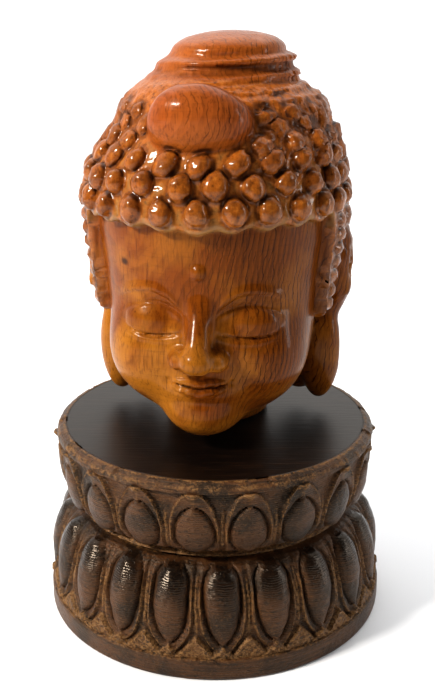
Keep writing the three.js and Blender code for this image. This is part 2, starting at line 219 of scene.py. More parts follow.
@dataclass
class HeadForm:
    """The head's carved form, in parts: 58 of them from the neck's seat to the crown.

    The face is laid out in equal thirds, from the hairline to the brow, from there to the
    nose's base, and from there to the chin. The skull's upright axis stands a little behind
    the middle. A curl row is its height, and a curl's radius and rise in it. A sideburn pad is
    its radius, its rise and how much flatter than round it is.
    """

    crown: float = 58.0
    axis: float = 1.5
    hairline: float = 33.5
    chin: float = 4.5
    eye_across: float = 6.6
    hair_thickness: float = 1.7
    jewel_middle: Triple = (-1.4, -13.3, 46.4)
    jewel_radii: Triple = (7.0, 4.6, 6.1)
    jewel_lean: float = math.radians(40.0)
    curl_pitch: float = 4.55
    curl_rows: tuple[tuple[float, float, float], ...] = (
        (47.9, 1.25, 0.45),
        (46.2, 1.45, 0.65),
        (44.2, 1.6, 0.95),
        (41.8, 1.6, 1.25),
        (39.0, 1.65, 1.5),
        (35.8, 1.65, 1.5),
        (32.4, 1.65, 1.35),
        (28.9, 1.65, 1.15),
        (25.4, 1.6, 1.05),
        (21.9, 1.55, 1.0),
        (18.4, 1.5, 1.0),
    )
    sideburn_pads: tuple[float, ...] = (32.4, 30.3, 28.3, 26.3, 24.2, 22.0, 19.8)
    sideburn_pad: Triple = (1.75, 0.75, -1.9)
    sideburn_angle: float = math.radians(74.5)
    curl_tallness: float = 0.24
    curl_wobble: float = 0.014
    lean: float = 1.1
    lean_side: float = 0.045
    fold_pitch: float = 1.35
    curl_centres: Array = field(default_factory=lambda: np.zeros((0, 3)))
    curl_normals: Array = field(default_factory=lambda: np.zeros((0, 3)))
    curl_sizes: Array = field(default_factory=lambda: np.zeros((0, 3)))

    @property
    def third(self) -> float:
        """One third of the face."""
        return (self.hairline - self.chin) / 3.0

    @property
    def brow(self) -> float:
        """Height of the brows."""
        return self.chin + 2.0 * self.third

    @property
    def nose_base(self) -> float:
        """Height of the nose's base."""
        return self.chin + self.third

    @property
    def mouth(self) -> float:
        """Height of the line between the lips."""
        return self.nose_base - self.third / 3.0

    @property
    def eye(self) -> float:
        """Height of the eyes' middle."""
        return self.brow - 0.36 * self.third

    def bare(self, points: Array) -> Array:
        """Skull, jaw, chin, cheeks, nape and neck."""
        q = fold(points)
        lumps = (
            ((0, -2.2, 20), (15.4, 14.9, 18), 3),
            ((0, -3.4, 12.6), (13.4, 13, 10.6), 3),
            ((0, -12.3, self.chin + 1.6), (5.4, 4.6, 4.2), 3),
            ((7.6, -8.4, self.nose_base), (6.4, 7.4, 7), 3),
            ((0, 4.5, 15), (13.4, 14, 13), 4),
        )
        d = Form.swell(q, Form.ellipsoid(q, (0, self.axis, 32.5), (17.6, 19, 20.3)), lumps)
        return Form.join(d, Form.bar(q, (0, 3.8, 0), (0, 3.8, 12), 8.0, 8.0), 2)

    def nose(self, points: Array) -> Array:
        """Bridge, tip, wings and nostrils."""
        q = fold(points)
        base = self.nose_base
        bridge = Form.bar(q, (0, -16.0, self.brow - 1.6), (0, -19.4, base + 1.6), 1.4, 1.9)
        tip = ((0, -19.6, base + 1.3), (2.3, 2.2, 1.8), 0.9)
        wing = ((2.5, -17.7, base + 0.95), (1.6, 2.3, 1.45), 0.8)
        nostril = Form.ellipsoid(q, (1.5, -19.0, base - 0.55), (0.8, 1.2, 0.6))
        return Form.cut(Form.swell(q, bridge, (tip, wing)), nostril, 0.35)

    def eyes(self, face: Array, points: Array) -> Array:
        """The face with its sockets and the balls of the eyes under their lids."""
        q = fold(points)
        across, eye = self.eye_across, self.eye
        socket = Form.ellipsoid(q, (across + 0.2, -19.4, eye + 0.5), (5.3, 4.5, 3.9))
        ball = Form.ellipsoid(q, (across, -11.9, eye - 0.6), (4.5, 3.9, 3.1))
        return Form.join(Form.cut(face, socket, 1.5), ball, 0.7)

    def muzzle(self, points: Array) -> Array:
        """The soft mound that carries the lips."""
        return Form.ellipsoid(points, (0, -12.4, self.mouth - 0.2), (6.2, 4.6, 4.0))

    def lift(self, points: Array) -> Array:
        """How far the fine carving of the face stands out, or lies in where it is negative."""
        x = np.abs(points[:, 0])
        z = points[:, 2]
        height = self._lid_lift(x, z) + self._brow_lift(x, z) + self._lip_lift(x, z)
        away = (x / 0.95) ** 2 + ((z - self.brow - 0.36 * self.third) / 0.95) ** 2
        height += 0.55 * np.exp(-(away**2))
        return height * smoothstep(-points[:, 1], 8.0, 10.0)

    def _lid_lift(self, x: Array, z: Array) -> Array:
        """Lowered upper lids over a thin slit, with a crease above and a soft lower lid."""
        across = (x - self.eye_across) / 4.3
        span = np.clip(1.0 - across**2, 0.0, 1.0)
        slit = self.eye - 1.55 - 0.8 * span
        crease = self.eye + 0.55 + 1.5 * span
        lid = 0.28 * smoothstep(z - slit, -0.05, 0.2) * smoothstep(crease - z, 0.0, 0.5)
        cut = 0.3 * bell(z - slit + 0.12, 0.2) + 0.14 * bell(z - crease - 0.1, 0.25)
        lower = 0.16 * bell(z - slit + 0.75, 0.32)
        return (lid - cut + lower) * np.sqrt(span)

    def _brow_lift(self, x: Array, z: Array) -> Array:
        """Fine arched brows with a crisp lower edge."""
        along = (x - 1.9) / 10.9
        peak = 0.47
        inner = 3.3 * ((peak - along) / peak) ** 2
        fall = np.where(along < peak, inner, 2.5 * ((along - peak) / (1 - peak)) ** 2)
        above = z - (self.brow + 0.5 - fall)
        ridge = smoothstep(above, -0.3, 0.12) * bell(np.maximum(above - 0.12, 0.0), 0.85)
        return 0.34 * ridge * smoothstep(along, 0.0, 0.15) * smoothstep(1.0 - along, 0.0, 0.25)

    def _lip_lift(self, x: Array, z: Array) -> Array:
        """Closed lips, a faint smile at their corners, and the furrow above them."""
        half = 4.5
        share = np.clip(x / half, 0.0, 1.0)
        span = np.sqrt(1.0 - share**2)
        line = self.mouth + 0.55 * share**2 - 0.14 * bell(x, 0.8)
        top = line + np.maximum(1.35 * span**1.4 * (1.0 - 0.2 * bell(x, 0.7)), 0.05)
        bottom = line - np.maximum(1.75 * span**1.3, 0.05)
        upper = np.clip((z - line) / (top - line), 0.0, 1.0)
        under = np.clip((line - z) / (line - bottom), 0.0, 1.0)
        rise = 0.55 * np.sqrt(1.0 - upper**2) * (z >= line) * (z < top)
        rise = rise + 0.75 * np.sin(math.pi * under**0.8) ** 0.7 * (z < line) * (z > bottom)
        rise = rise * span
        rise -= 0.34 * bell(z - line, 0.2) * smoothstep(half + 0.5 - x, 0.0, 0.8)
        corner = ((x - half) / 0.7) ** 2 + ((z - self.mouth - 0.5) / 0.7) ** 2
        rise -= 0.25 * np.exp(-corner)
        rise -= 0.3 * bell(z - self.mouth + 2.7, 0.8) * bell(x, 2.8)
        furrow = smoothstep(z, self.mouth + 1.3, self.mouth + 1.8)
        return rise - 0.22 * bell(x, 0.6) * (furrow * smoothstep(self.nose_base - z, -0.2, 0.5))

    def ear(self, points: Array) -> Array:
        """Long ear: rim, hollow and stretched lobe."""
        q = fold(points)
        lumps = (
            ((16.1, 5.2, 9.8), (3.3, 3.3, 8.2), 2.5),
            ((12.8, 7.4, 9.6), (4.4, 3.0, 7.4), 1.2),
            ((15.5, 6.2, 22.0), (3.0, 3.4, 6.0), 1.0),
        )
        d = Form.swell(q, Form.ellipsoid(q, (18.1, 5.8, 23.6), (2.9, 4.6, 7.2)), lumps)
        d = Form.cut(d, Form.ellipsoid(q, (21.6, 5.0, 23.4), (1.9, 2.6, 4.8)), 0.5)
        d = Form.join(d, Form.bar(q, (20.0, 3.0, 20), (20.1, 6, 25.6), 0.55, 0.45), 0.5)
        return Form.cut(d, Form.bar(q, (20.0, 5.2, 14.5), (20.1, 5.2, 8), 0.9, 0.9), 0.5)

    def bearing(self, points: Array) -> Array:
        """Angle round the skull's axis from straight ahead, either way."""
        return np.abs(np.arctan2(points[:, 0], self.axis - points[:, 1]))

    def hair_edge(self, points: Array) -> Array:
        """Height of the hair's lower edge, which scallops along the forehead's curls."""
        angle = np.degrees(self.bearing(points))
        scallops = np.cos(np.radians(angle) * TURN * 19.05 / self.curl_pitch)
        peak = 0.5 * bell(angle, 12.0) + 0.3 * scallops
        temple = smoothstep(angle, 64.0, 70.0)
        nape = smoothstep(angle, 94.0, 123.0)
        return self.hairline - peak - 15.5 * temple - 8.5 * nape

    def hair_ground(self, points: Array) -> Array:
        """The hair without its curls, full up to the foot of the crown knot."""
        below = 0.9 * (points[:, 2] - self.hair_edge(points))
        d = Form.cut(self.bare(points) - self.hair_thickness, below, 0.5)
        return Form.join(d, Form.ellipsoid(points, (0, 2, 47.0), (15.0, 15.4, 6.2)), 1.5)

    def knot(self, points: Array) -> Array:
        """Crown knot: folds that get smaller upwards, steep on one side and soft on the other."""
        q = points.copy()
        q[:, 0] -= 0.2 * (q[:, 2] - 50.0)
        soft = 0.45 + 1.4 * smoothstep(-q[:, 0], -1.0, 9.5)
        tilt = q.copy()
        tilt[:, 2] -= self.lean_side * q[:, 0]
        d = Form.ellipsoid(tilt, (0, 2, 51.9), (10.9, 10.9, 1.7))
        d = Form.join(d, Form.ellipsoid(tilt, (0, 2, 53.9), (9.9, 10.1, 1.6)), soft)
        return Form.join(d, Form.ellipsoid(q, (0, 2, 55.4), (8.1, 8.8, 2.6)), soft)

    def jewel(self, points: Array) -> Array:
        """The jewel in front of the crown knot, leaning back with the hair."""
        x, y, z = (points - np.array(self.jewel_middle)).T
        c, s = math.cos(self.jewel_lean), math.sin(self.jewel_lean)
        leaned = np.stack([x, c * y + s * z, c * z - s * y], 1)
        return Form.ellipsoid(leaned, (0, 0, 0), self.jewel_radii)

    def carved(self, points: Array, parts: Sequence[tuple[Distance, float]]) -> Array:
        """The bare head with its eyes, a flat seat, and parts joined on, each with its softness."""
        d = self.eyes(self.bare(points), points)
        for part, soft in parts:
            d = Form.join(d, part(points), soft)
        return np.maximum(d, -points[:, 2])

    def ground(self, points: Array) -> Array:
        """The whole head without its curls and fine carving."""
        face = ((self.muzzle, 2.0), (self.nose, 1.3))
        above = ((self.hair_ground, 0.25), (self.ear, 0.6), (self.knot, 0.6), (self.jewel, 0.3))
        return self.carved(points, face + above)

    def block(self, points: Array) -> Array:
        """The head without ears, curls and fine carving, near enough to draw a ball onto."""
        face = self.carved(points, ((self.nose, 1.0), (self.jewel, 0.3), (self.knot, 0.6)))
        return Form.join(self.hair_ground(points), face, 0.3)

    def curls(self, points: Array, near: Array) -> Array:
        """Distance to the nearest curls, each a low dome, a little taller than wide.

        Args:
            points: An (n, 3) array.
            near: For each point, the numbers of the curls to measure, (n, k).

        Returns:
            n distances.
        """
        d = np.full(len(points), 50.0)
        for column in near.T:
            gap = points - self.curl_centres[column]
            normal = self.curl_normals[column]
            radius, height, tall = self.curl_sizes[column].T
            rise = np.einsum("ij,ij->i", gap, normal)
            level = gap[:, 2] - rise * normal[:, 2]
            flat = np.einsum("ij,ij->i", gap, gap) - rise**2 - tall * level**2
            aside = np.sqrt(np.maximum(flat, 0.0))
            size = ((aside / radius) ** 2.3 + (np.abs(rise) / height) ** 2.3) ** (1 / 2.3)
            d = Form.join(d, (size - 1.0) * height * 0.9, 0.2)
        return d

    def near_curls(self, points: Array, count: int = 3) -> Array:
        """Numbers of the nearest curls to each point, worked out a stretch at a time."""
        chosen = []
        for start in range(0, len(points), 4000):
            stretch = points[start : start + 4000, None, :] - self.curl_centres[None]
            far = np.einsum("ijk,ijk->ij", stretch, stretch)
            chosen.append(np.argpartition(far, count, axis=1)[:, :count])
        return np.concatenate(chosen)

    def roughness(self, points: Array) -> Array:
        """How the knife has left the hair: uneven, more so above, and in fine folds by the knot."""
        x, _, z = points.T
        hair = smoothstep(z - self.hair_edge(points), -0.1, 0.5)
        jewel = self.jewel(points)
        top = smoothstep(self.knot(points), 0.3, 2.0) * smoothstep(jewel, 0.1, 0.6)
        side = 1.0 + 0.8 * smoothstep(x, 2.0, 10.0) * smoothstep(z, 38.0, 43.0)
        uneven = 0.15 * GRAIN.at(points, 1.3) + 0.1 * GRAIN.at(points + 30.0, 0.6)
        wave = np.sin((z - self.lean_side * x) * TURN / self.fold_pitch)
        skirt = smoothstep(z, 48.4, 49.4) * smoothstep(54.5 - z, 0.0, 1.0)
        folds = 0.13 * wave * skirt * smoothstep(x, -9.0, 0.0) * smoothstep(jewel, 0.3, 1.0)
        return uneven * hair * side * (0.3 + 0.7 * top) + folds

    def whole(self, points: Array, near: Array) -> Array:
        """The head with its curls and fine carving."""
        d = Form.join(self.ground(points), self.curls(points, near), 0.22)
        return np.maximum(d - self.lift(points) - self.roughness(points), -points[:, 2])

    def on_hair(self, ways: Array, heights: Array) -> Array:
        """Points on the hair, seen along unit ways from the skull's axis at given heights."""
        starts = np.column_stack([0 * heights, 0 * heights + self.axis, heights])
        return cast_rays(self.hair_ground, starts, ways, 40)

    def place_curls(self, seed: int = 7) -> None:
        """Sets the curls on the hair, row by row, every other row staggered, each its own."""
        rng = np.random.default_rng(seed)
        wobble = self.curl_wobble
        centres = []
        sizes = []
        for row, (height, radius, rise) in enumerate(self.curl_rows):
            side = self.on_hair(np.array([[1.0, 0, 0]]), np.array([height]))
            count = int(TURN * side[0, 0] / self.curl_pitch)
            turns = (np.arange(count) + (0.0 if row % 2 else 0.5)) * TURN / count
            turns += rng.uniform(-wobble, wobble, count)
            ways = np.stack([np.sin(turns), -np.cos(turns), rng.uniform(-wobble, wobble, count)], 1)
            ways /= np.linalg.norm(ways, axis=1)[:, None]
            centres.append(self.on_hair(ways, np.full(count, height)))
            spread = rng.uniform(0.9, 1.08, (count, 2))
            angle = np.degrees(np.abs(np.arctan2(ways[:, 0], -ways[:, 1])))
            spread[:, 1] *= 1.0 - 0.3 * smoothstep(angle, 58.0, 74.0)
            tall = np.full(count, self.curl_tallness)
            sizes.append(np.column_stack([radius * spread[:, 0], rise * spread[:, 1], tall]))
        pads = (len(self.sideburn_pads), 1)
        for turn in (-self.sideburn_angle, self.sideburn_angle):
            ways = np.tile([math.sin(turn), -math.cos(turn), 0.0], pads)
            centres.append(self.on_hair(ways, np.array(self.sideburn_pads)))
            sizes.append(np.tile(self.sideburn_pad, pads))
        self._keep_clear(np.concatenate(centres), np.concatenate(sizes))

    def _keep_clear(self, found: Array, size: Array) -> None:
        """Keeps the pads, and the curls that stand clear of them, the edge, ears, jewel and knot."""
        pad = size[:, 2] < 0
        clear = found[:, 2] > self.hair_edge(found) + 0.75 * size[:, 0]
        clear &= np.minimum(self.jewel(found), self.ear(found)) > 0.5 * size[:, 0]
        clear = (clear & (self.knot(found) > 0.8)) | pad
        beside = np.abs(self.bearing(found) - self.sideburn_angle) < 0.16
        clear &= ~(beside & (found[:, 2] < self.hairline) & ~pad)
        self.curl_centres = found[clear]
        self.curl_normals = outward(self.hair_ground, self.curl_centres)
        self.curl_sizes = size[clear]


def nudged(points: Array, axis: int, step: float) -> Array:
    """The points, all moved a step along one axis."""
    moved = points.copy()
    moved[:, axis] += step
    return moved


def outward(distance: Distance, points: Array, step: float = 0.05) -> Array:
    """Unit directions in which a distance grows fastest."""
    slope = np.empty_like(points)
    for axis in range(3):
        slope[:, axis] = distance(nudged(points, axis, step)) - distance(nudged(points, axis, -step))
    return slope / np.maximum(np.linalg.norm(slope, axis=1), 1e-9)[:, None]


def cast_rays(distance: Distance, origins: Array, ways: Array, reach: float) -> Array:
    """Walks in along rays from outside.

    Args:
        distance: The carved form.
        origins: Where the rays start, inside the form.
        ways: Unit directions.
        reach: How far out the walk begins.

    Returns:
        Points on the form.
    """
    travel = np.full(len(origins), float(reach))
    for _ in range(90):
        travel -= 0.7 * distance(origins + travel[:, None] * ways)
    return origins + travel[:, None] * ways


class Mesh:
    """Small helpers round Blender's mesh operators."""

    @staticmethod
    def pick(*pieces: Piece) -> None:
        """Selects these pieces alone, the first of them active, or nothing at all."""
        if bpy.context.object and bpy.context.object.mode != "OBJECT":
            bpy.ops.object.mode_set(mode="OBJECT")
        bpy.ops.object.select_all(action="DESELECT")
        for piece in pieces:
            piece.select_set(True)
        if pieces:
            bpy.context.view_layer.objects.active = pieces[0]

    @staticmethod
    def read(items: Any, what: str = "co") -> Array:
        """One vector from each vertex or face, such as its place, its normal or its middle."""
        flat = np.empty(3 * len(items))
        items.foreach_get(what, flat)
        return flat.reshape(-1, 3)

    @staticmethod
    def place(piece: Piece, points: Array) -> None:
        """Moves the piece's vertices."""
        flat = np.ascontiguousarray(points, dtype=np.float64).ravel()
        piece.data.vertices.foreach_set("co", flat)
        piece.data.update()

    @staticmethod
    def sphere(name: str, columns: int, rows: int) -> Piece:
        """A unit ball of quads about the origin."""
        Mesh.pick()
        bpy.ops.mesh.primitive_uv_sphere_add(
            segments=columns, ring_count=rows, radius=1.0, location=(0, 0, 0)
        )
        ball = bpy.context.object
        ball.name = name
        return ball

    @staticmethod
    def modify(piece: Piece, kind: str, **settings: Any) -> None:
        """Adds a modifier and applies it."""
        Mesh.pick(piece)
        modifier = piece.modifiers.new(kind.lower(), kind)
        for key, value in settings.items():
            setattr(modifier, key, value)
        bpy.ops.object.modifier_apply(modifier=modifier.name)

    @staticmethod
    def merge(pieces: Sequence[Piece], name: str) -> Piece:
        """Joins pieces into the first."""
        Mesh.pick(*pieces)
        bpy.ops.object.join()
        pieces[0].name = name
        pieces[0].data.name = name
        return pieces[0]

    @staticmethod
    def subdivide(piece: Piece, chosen: Array) -> None:
        """Cuts each chosen face into four.

        Args:
            piece: The mesh object.
            chosen: One truth value for each face.
        """
        Mesh.pick(piece)
        for items in (piece.data.vertices, piece.data.edges):
            items.foreach_set("select", np.zeros(len(items), dtype=bool))
        piece.data.polygons.foreach_set("select", chosen)
        bpy.ops.object.mode_set(mode="EDIT")
        bpy.ops.mesh.select_mode(type="FACE")
        bpy.ops.mesh.subdivide(number_cuts=1)
        bpy.ops.object.mode_set(mode="OBJECT")

    @staticmethod
    def note(piece: Piece, **notes: Array) -> None:
        """Writes one number for each vertex under each name, for the finish to read."""
        for name, values in notes.items():
            layer = piece.data.attributes.new(name, "FLOAT", "POINT")
            layer.data.foreach_set("value", np.asarray(values, dtype=np.float32))

    @staticmethod
    def smooth(piece: Piece, angle: float) -> None:
        """Shades the piece smooth but for edges sharper than an angle in degrees."""
        Mesh.pick(piece)
        bpy.ops.object.shade_smooth_by_angle(angle=math.radians(angle))


class Shade:
    """A shader socket with arithmetic: each operator adds its Math node."""

    def __init__(self, paint: "Paint", socket: bpy.types.NodeSocket) -> None:
        """Wraps a socket of a material that is being built."""
        self.paint = paint
        self.socket = socket

    def _math(self, operation: str, *values: Any) -> "Shade":
        """One Math node."""
        return self.paint.add("ShaderNodeMath", {"operation": operation}, *values)

    def __add__(self, other: Any) -> "Shade":
        """Sum."""
        return self._math("ADD", self, other)

    __radd__ = __add__

    def __sub__(self, other: Any) -> "Shade":
        """Difference."""
        return self._math("SUBTRACT", self, other)

    def __rsub__(self, other: Any) -> "Shade":
        """Difference, the other way round."""
        return self._math("SUBTRACT", other, self)

    def __mul__(self, other: Any) -> "Shade":
        """Product."""
        return self._math("MULTIPLY", self, other)

    __rmul__ = __mul__

    def __truediv__(self, other: Any) -> "Shade":
        """Quotient."""
        return self._math("DIVIDE", self, other)

    def fract(self) -> "Shade":
        """What is left past the whole number."""
        return self._math("FRACT", self)

    def between(self, low: float, high: float, first: float = 0.0, last: float = 1.0) -> "Shade":
        """A soft step from first at low to last at high."""
        settings = {"interpolation_type": "SMOOTHSTEP", "clamp": True}
        return self.paint.add("ShaderNodeMapRange", settings, self, low, high, first, last)

    def ridge(self, start: float, full: float, fades: float, gone: float) -> "Shade":
        """Rises softly from start to full, and falls from fades to gone."""
        return self.between(start, full) * (1.0 - self.between(fades, gone))


class Paint:
    """A node tree in the making: one method adds any node."""

    def __init__(self, owner: bpy.types.Material | bpy.types.World) -> None:
        """Empties the node tree of a new material or world."""
        owner.use_nodes = True
        self.owner = owner
        self.tree = owner.node_tree
        self.tree.nodes.clear()

    def add(
        self, kind: str, settings: Settings = None, *values: Any, output: str = "", **named: Any
    ) -> Shade:
        """Adds a node.

        Args:
            kind: The node's type.
            settings: Its own settings, which are set first.
            *values: Values or sockets for its first inputs, in order.
            output: Which output is wanted, if it isn't the first that is enabled.
            **named: Values or sockets for its inputs by name, with _ for a space.

        Returns:
            The wanted output, or an empty one where the node has none.
        """
        node = self.tree.nodes.new(kind)
        for key, value in (settings or {}).items():
            setattr(node, key, value)
        for socket, value in zip([socket for socket in node.inputs if socket.enabled], values):
            self._feed(socket, value)
        for key, value in named.items():
            self._feed(node.inputs[key.replace("_", " ")], value)
        outputs = [socket for socket in node.outputs if socket.enabled] or [None]
        return Shade(self, node.outputs[output] if output else outputs[0])

    def _feed(self, socket: bpy.types.NodeSocket, value: Any) -> None:
        """Links or sets one input."""
        if isinstance(value, Shade):
            self.tree.links.new(value.socket, socket)
        else:
            socket.default_value = (*value, 1.0) if socket.type == "RGBA" else value

    def vector(self, operation: str, *values: Any, output: str = "") -> Shade:
        """One Vector Math node."""
        return self.add("ShaderNodeVectorMath", {"operation": operation}, *values, output=output)

    def coordinates(self) -> Shade:
        """Object coordinates in millimetres."""
        metres = self.add("ShaderNodeTexCoord", output="Object")
        return self.vector("SCALE", metres, 1.0 / MM)

    def noise(self, place: Shade, scale: float, detail: float = 3.0, rough: float = 0.5) -> Shade:
        """Noise from 0 to 1, scale bumps a millimetre."""
        amounts = {"Scale": scale, "Detail": detail, "Roughness": rough}
        return self.add("ShaderNodeTexNoise", Vector=place, **amounts)

    def grain(self, place: Shade, stretch: Triple, *settings: float) -> Shade:
        """Noise whose bumps are drawn out: more of them along an axis where stretch is high."""
        return self.noise(self.vector("MULTIPLY", place, stretch), *settings)

    def attribute(self, name: str) -> Shade:
        """A number that the mesh carries."""
        return self.add("ShaderNodeAttribute", {"attribute_name": name}, output="Fac")

    def layer(self, colour: Any, *coats: tuple[Any, Any]) -> Shade:
        """Lays coats over a colour, each a share and the coat's own colour."""
        for share, coat in coats:
            colour = self.add("ShaderNodeMix", {"data_type": "RGBA"}, share, colour, coat)
        return colour

    def dot(self, place: Shade, way: Triple) -> Shade:
        """How far a place lies along a direction."""
        return self.vector("DOT_PRODUCT", place, way, output="Value")

    def away(self, place: Shade, centre: Triple) -> Shade:
        """How far a place is, as seen from the front, from a centre."""
        flat = self.vector("MULTIPLY", place, (1.0, 0.0, 1.0))
        return self.vector("DISTANCE", flat, centre, output="Value")

    def finish(
        self, relief: Shade, distance: float, strength: float, **sockets: Any
    ) -> bpy.types.Material:
        """Closes the material.

        Args:
            relief: The bump's height.
            distance: Metres that a height of 1 stands for.
            strength: The bump's strength.
            **sockets: Values or sockets for the Principled shader, by name.

        Returns:
            The finished material.
        """
        bump = self.add("ShaderNodeBump", Strength=strength, Distance=distance, Height=relief)
        surface = self.add("ShaderNodeBsdfPrincipled", Normal=bump, **sockets)
        self.add("ShaderNodeOutputMaterial", Surface=surface)
        return self.owner


@dataclass(frozen=True)
class PolishedHeartwood:
    """Glossy orange-brown wood: growth rings in leaning sheets, dark hairlines and khaki residue."""

    ring_way: Triple = (-0.735, -0.645, 0.21)
    ring_spacing: float = 0.78
    thread_way: Triple = (0.82, 0.5, -0.12)
    thread_spacing: float = 0.72
    dim_way: Triple = (0.95, -0.15, 0.05)
    golden: Triple = (0.41, 0.162, 0.018)
    russet: Triple = (0.18, 0.041, 0.003)
    rosy: Triple = (0.36, 0.085, 0.018)
    shaded: Triple = (0.13, 0.037, 0.003)
    umber: Triple = (0.024, 0.006, 0.001)
    khaki: Triple = (0.25, 0.136, 0.043)
    amber: Triple = (0.46, 0.14, 0.016)
    glint: Triple = (0.6, 0.24, 0.04)
    pit: Triple = (0.05, 0.013, 0.002)
    seam: Triple = (0.026, 0.007, 0.002)
    shadow: Triple = (0.05, 0.016, 0.006)
    knots: tuple[Triple, ...] = ((-12.6, 58.2, 0.75), (9.1, 41.3, 0.3))

    def make(self) -> bpy.types.Material:
        """Builds the material. A knot is where it lies across, its height and its size."""
        paint = Paint(bpy.data.materials.new("polished_heartwood"))
        place = paint.coordinates()
        drift = paint.noise(place, 0.06, 2.0)
        wander = paint.noise(place, 0.3)
        cloud = paint.noise(place, 0.11)
        sheets = paint.dot(place, self.ring_way) / self.ring_spacing + drift * 5.0 + wander * 1.3
        band = sheets.fract().ridge(0.1, 0.85, 0.9, 1.0) * (0.45 + 1.1 * cloud.between(0.35, 0.6))
        right = paint.dot(place, self.dim_way).between(-3.0, 13.0)
        height = paint.dot(place, (0.0, 0.0, 1.0))
        crown = height.between(62.0, 82.0)

        threads = paint.dot(place, self.thread_way) / self.thread_spacing + wander * 2.6 + drift * 3.0
        shown = paint.grain(place, (1.5, 1.5, 0.16), 0.7).between(0.4, 0.56)
        thread = threads.fract().ridge(0.74, 0.88, 0.93, 1.0) * shown * (0.2 + 0.8 * right)
        fibre = paint.grain(place, (2.2, 2.2, 0.16), 1.6, 5.0, 0.65)
        fleck = paint.grain(place, (0.3, 0.3, 3.2), 1.0, 3.0, 0.6)
        grit = paint.noise(place, 1.5, 4.0, 0.7)
        hair, crease, dust, foot = map(paint.attribute, ("hair", "crease", "dust", "foot"))
        dusty = dust * paint.noise(place, 0.45).between(0.3, 0.55)
        spots = [
            1.0 - paint.away(place, (x, 0.0, z)).between(0.25 * size, size) for x, z, size in self.knots
        ]
        colour = paint.layer(
            self.golden,
            (0.15 + cloud.between(0.38, 0.6) * 0.6 + fibre * 0.35, self.russet),
            (height.between(48.0, 60.0) * 0.42, self.russet),
            (crown * 0.7, self.rosy),
            # painted shade: the right side, away from the window light, painted darker below the crown
            (right * 0.5 * (1.0 - crown), self.shaded),
            (band * (0.13 + 0.13 * right), self.umber),
            (fleck.between(0.5, 0.75) * 0.18, self.umber),
            (fibre.between(0.5, 0.72) * 0.5, self.umber),
            (thread * 0.85, self.umber),
            *((spot * 0.9, self.umber) for spot in spots),
            (hair * 0.45, self.amber),
            # painted shade: the low places of the hair's grit bump painted dark
            (hair * (1.0 - grit.between(0.3, 0.5)) * 0.7, self.pit),
            # painted glints: the high places of the hair's grit bump painted bright orange
            (hair * grit.between(0.54, 0.7) * 0.45, self.glint),
            # painted shade: dark umber laid into the creases, the more the deeper they are shut in
            (crease.between(0.36, 0.8) * 0.85, self.seam),
            (dusty * 0.7, self.khaki),
            # painted shadow: a dark ring round each curl's foot
            (foot * 0.5, self.shadow),
        )
        tool = paint.grain(place, (0.6, 0.6, 2.4), 1.1, 2.0)
        return paint.finish(
            tool * 0.25 + fibre * 0.4 - thread * 0.4 + grit * hair * 3.0,
            0.00007,
            0.6,
            Base_Color=colour,
            Roughness=0.22 + 0.16 * fibre + crease.between(0.2, 0.7) * 0.25 + dust * 0.2,
            Coat_Weight=0.14 + 0.5 * hair * (1.0 - 0.85 * crown),
            Coat_Roughness=0.12,
            Specular_IOR_Level=0.07,
            Specular_Tint=(1.0, 0.8, 0.62),
        )


@dataclass(frozen=True)
class DarkStainedWood:
    """Dark satin wood with ochre in the valleys, worn edges and fine level tool marks."""

    ebony: Triple = (0.013, 0.0065, 0.0032)
    brown: Triple = (0.075, 0.030, 0.0105)
    ochre: Triple = (0.2, 0.1, 0.034)
    straw: Triple = (0.32, 0.19, 0.09)
    tan: Triple = (0.13, 0.064, 0.024)
    black: Triple = (0.006, 0.004, 0.003)
    top: Triple = (0.004, 0.0022, 0.0015)
    top_streak: Triple = (0.030, 0.0145, 0.0075)
    mark_spacing: float = 0.31

    def make(self) -> bpy.types.Material:
        """Builds the material."""
        paint = Paint(bpy.data.materials.new("dark_stained_wood"))
        place = paint.coordinates()
        names = ("wear", "crease", "polished", "sides", "disc")
        wear, crease, polished, sides, disc = map(paint.attribute, names)
        carved = 1.0 - disc
        cloud = paint.noise(place, 0.16, 4.0)
        grit = paint.noise(place, 4.0, 2.0)
        crumbs = paint.noise(place, 2.6, 4.0, 0.7).between(0.42, 0.62)
        speck = paint.grain(place, (1.0, 1.0, 2.0), 1.7, 5.0, 0.72)
        layers = paint.grain(place, (0.12, 0.12, 3.4), 1.3, 4.0, 0.65)
        streak = paint.grain(place, (0.14, 2.6, 1.0), 1.2, 4.0, 0.6)
        pore = paint.grain(place, (0.9, 0.9, 2.4), 1.3, 2.0).between(0.6, 0.66) * carved
        worn = (wear * (0.1 + 0.75 * speck + 0.75 * crumbs)).between(0.22, 1.0)
        colour = paint.layer(
            self.ebony,
            (cloud.between(0.3, 0.62) * (0.1 + 1.8 * layers.between(0.3, 0.7)), self.brown),
            (worn, self.ochre),
            ((worn * grit).between(0.42, 0.62) * 0.5, self.straw),
            ((speck * crumbs).between(0.36, 0.56) * 0.6, self.tan),
            (pore * 0.7, self.black),
            # painted shade: the stand's recesses painted darker, the more the deeper they lie under
            # their surroundings
            (crease.between(0.2, 0.95) * 0.45, self.black),
            (polished * (0.6 + 0.5 * cloud), self.black),
            (disc, paint.layer(self.top, (streak.between(0.5, 0.8), self.top_streak))),
        )
        level = paint.dot(place, (0.0, 0.0, 1.0)) / self.mark_spacing
        marks = (level + paint.noise(place, 0.6, 2.0) * 1.6).fract().ridge(0.0, 0.5, 0.5, 1.0)
        texture = speck * 1.7 * (1.0 - 0.8 * polished) + layers * 2.2 * (1.0 - sides)
        return paint.finish(
            marks * sides * 0.35 + texture * carved + streak * disc * 0.35 - pore * 0.6,
            0.00011,
            0.8,
            Base_Color=colour,
            Roughness=0.28 + 0.2 * speck * carved + disc * 0.09 + worn * 0.2 - polished * 0.2,
            Specular_IOR_Level=0.36,
            Specular_Tint=(1.0, 0.82, 0.64),
        )


